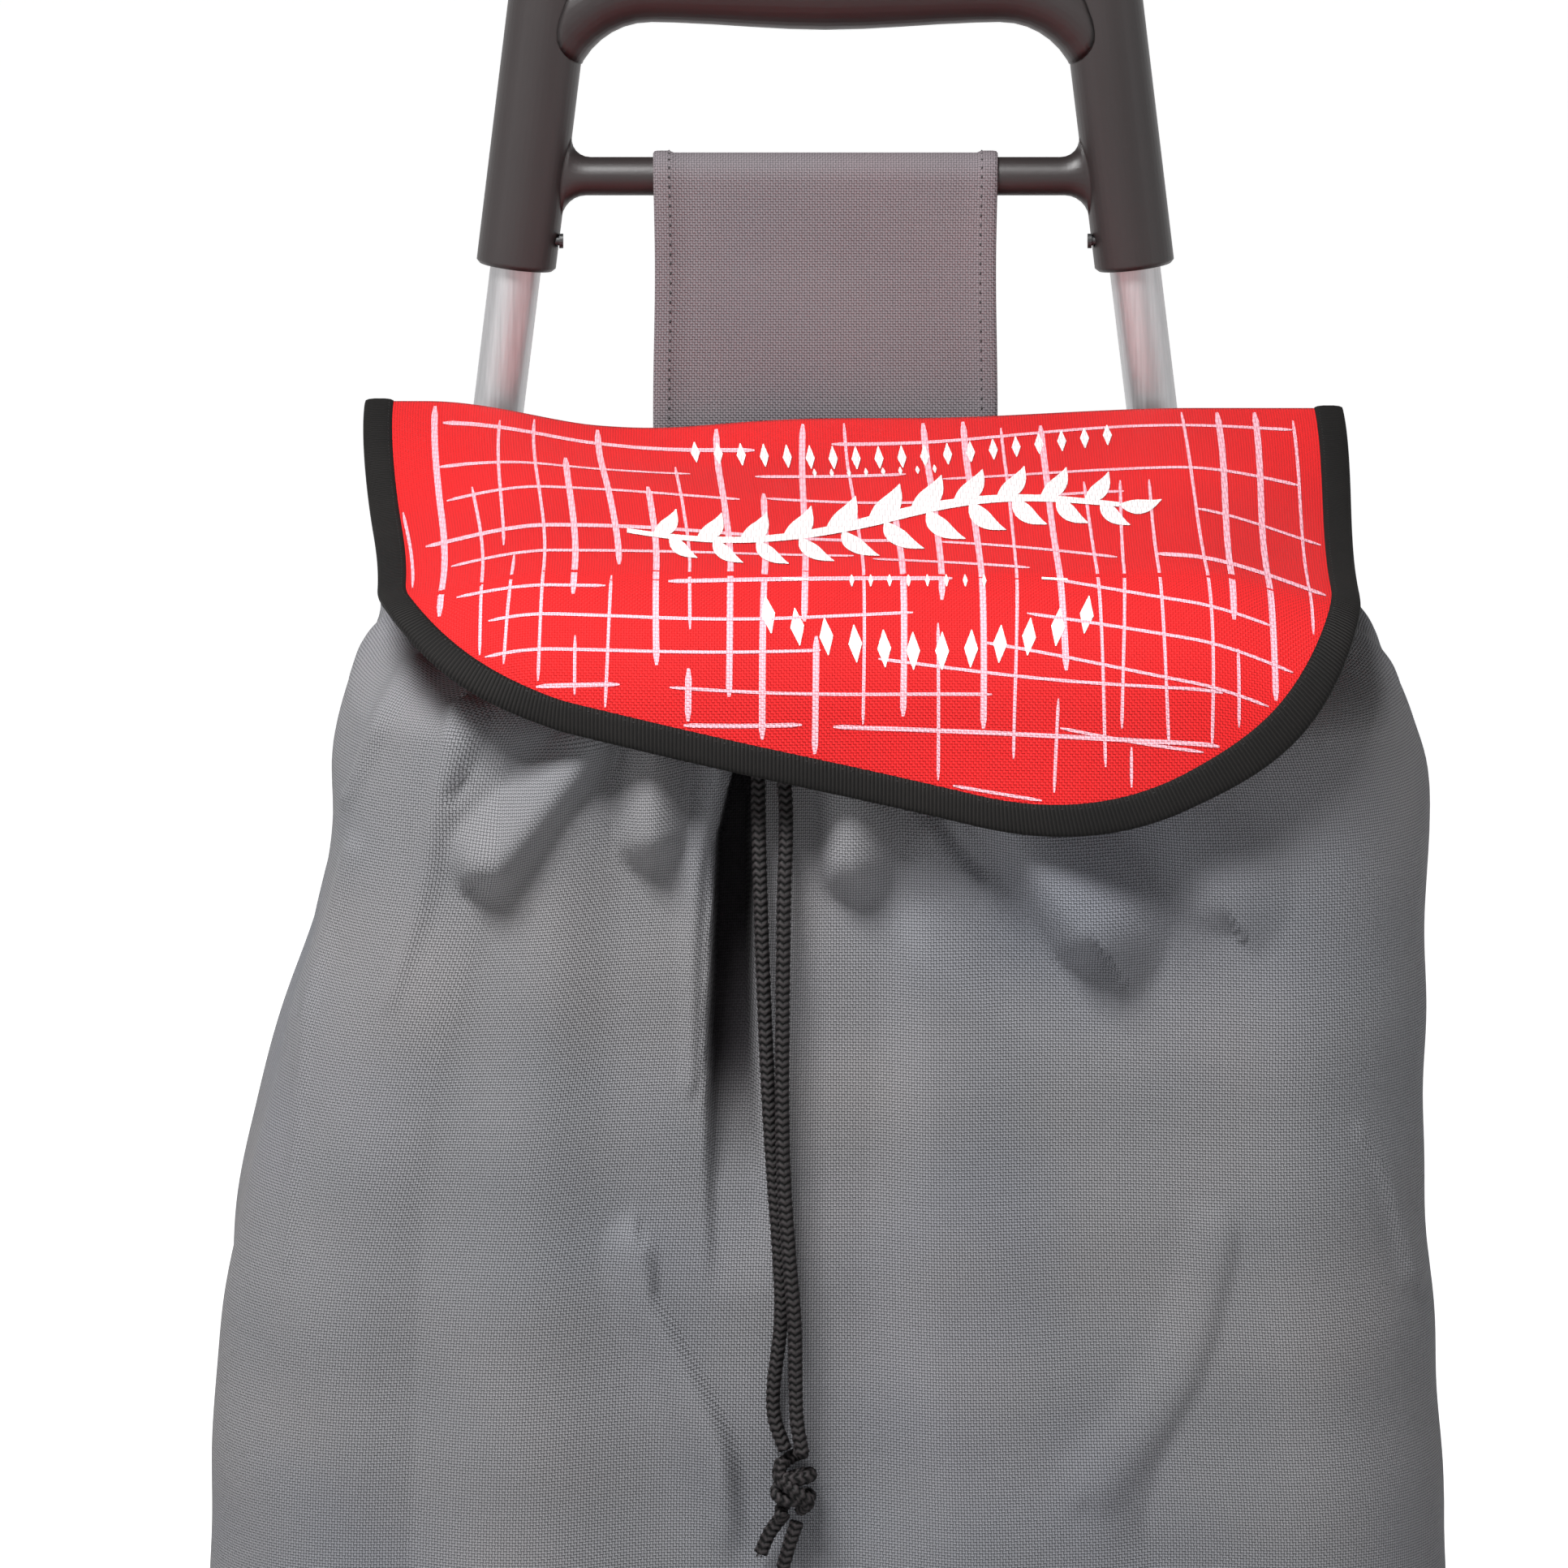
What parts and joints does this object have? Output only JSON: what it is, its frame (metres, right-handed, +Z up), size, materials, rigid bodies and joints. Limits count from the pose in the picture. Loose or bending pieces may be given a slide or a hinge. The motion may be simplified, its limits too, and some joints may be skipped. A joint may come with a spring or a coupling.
{
  "type": "shopping trolley",
  "caption": "Upright shopping trolley with a gathered grey cloth bag, hinged red flap, tube frame, moulded arched handle, fixed front stand and rear wheels.",
  "frame": {"origin": "on the floor, in the middle of the trolley's width and depth", "axes": "+Z up, -Y towards the front of the bag, +X to the right of someone who faces the front"},
  "size_m": [0.416, 0.3509, 0.9275],
  "materials": {
    "handle_plastic": "fine matte moulded plastic",
    "aluminium": "satin drawn tube",
    "painted_steel": "satin black paint",
    "zinc_steel": "zinc plated",
    "black_plastic": "matte",
    "wheel_plastic": "matte",
    "nylon": "smooth",
    "rubber": "matte",
    "tyre_rubber": "matte",
    "bag_cloth": "grey woven cloth",
    "strap_webbing": "grey woven webbing",
    "board": "matte board",
    "flap_cloth": "red printed cloth",
    "black_tape": "ribbed tape",
    "black_cord": "braided cord"
  },
  "bodies": {
    "frame": {"handle_grip": "handle_plastic", "handle_yoke": "handle_plastic", "left_handle_screw": "painted_steel", "right_handle_screw": "painted_steel", "left_upright_tube": "aluminium", "right_upright_tube": "aluminium", "upper_cross_bar": "painted_steel", "lower_cross_bar": "painted_steel", "base_loop": "painted_steel", "base_rod_front": "painted_steel", "base_rod_rear": "painted_steel", "front_stand": "painted_steel", "left_foot": "rubber", "right_foot": "rubber", "left_axle_bracket": "black_plastic", "right_axle_bracket": "black_plastic", "axle": "zinc_steel", "left_inner_washer": "zinc_steel", "right_inner_washer": "zinc_steel", "left_outer_washer": "zinc_steel", "right_outer_washer": "zinc_steel", "left_axle_cap": "black_plastic", "right_axle_cap": "black_plastic", "hanging_strap": "strap_webbing", "left_tube_tab": "black_tape", "right_tube_tab": "black_tape", "bag_front_panel": "bag_cloth", "bag_left_panel": "bag_cloth", "bag_right_panel": "bag_cloth", "bag_back_panel": "bag_cloth", "bag_floor_panel": "bag_cloth", "bag_floor_board": "board", "bag_collar": "bag_cloth", "left_drawcord": "black_cord", "right_drawcord": "black_cord", "drawcord_knot": "black_cord", "left_cord_tail": "black_cord", "right_cord_tail": "black_cord"},
    "flap": {"flap_panel": "flap_cloth", "flap_binding": "black_tape"},
    "left_wheel": {"left_tyre": "tyre_rubber", "left_wheel_rim": "wheel_plastic", "left_wheel_bush": "nylon"},
    "right_wheel": {"right_tyre": "tyre_rubber", "right_wheel_rim": "wheel_plastic", "right_wheel_bush": "nylon"}
  },
  "joints": [
    {"name": "flap_hinge", "type": "hinge", "parent": "frame", "child": "flap", "pos_m": [0, 0.075, 0.764], "axis": [-1, 0, 0], "range_deg": [0, 90]},
    {"name": "left_wheel_spin", "type": "hinge", "parent": "frame", "child": "left_wheel", "pos_m": [-0.174, 0.095, 0.08], "axis": [1, 0, 0], "continuous": true},
    {"name": "right_wheel_spin", "type": "hinge", "parent": "frame", "child": "right_wheel", "pos_m": [0.174, 0.095, 0.08], "axis": [1, 0, 0], "continuous": true}
  ]
}
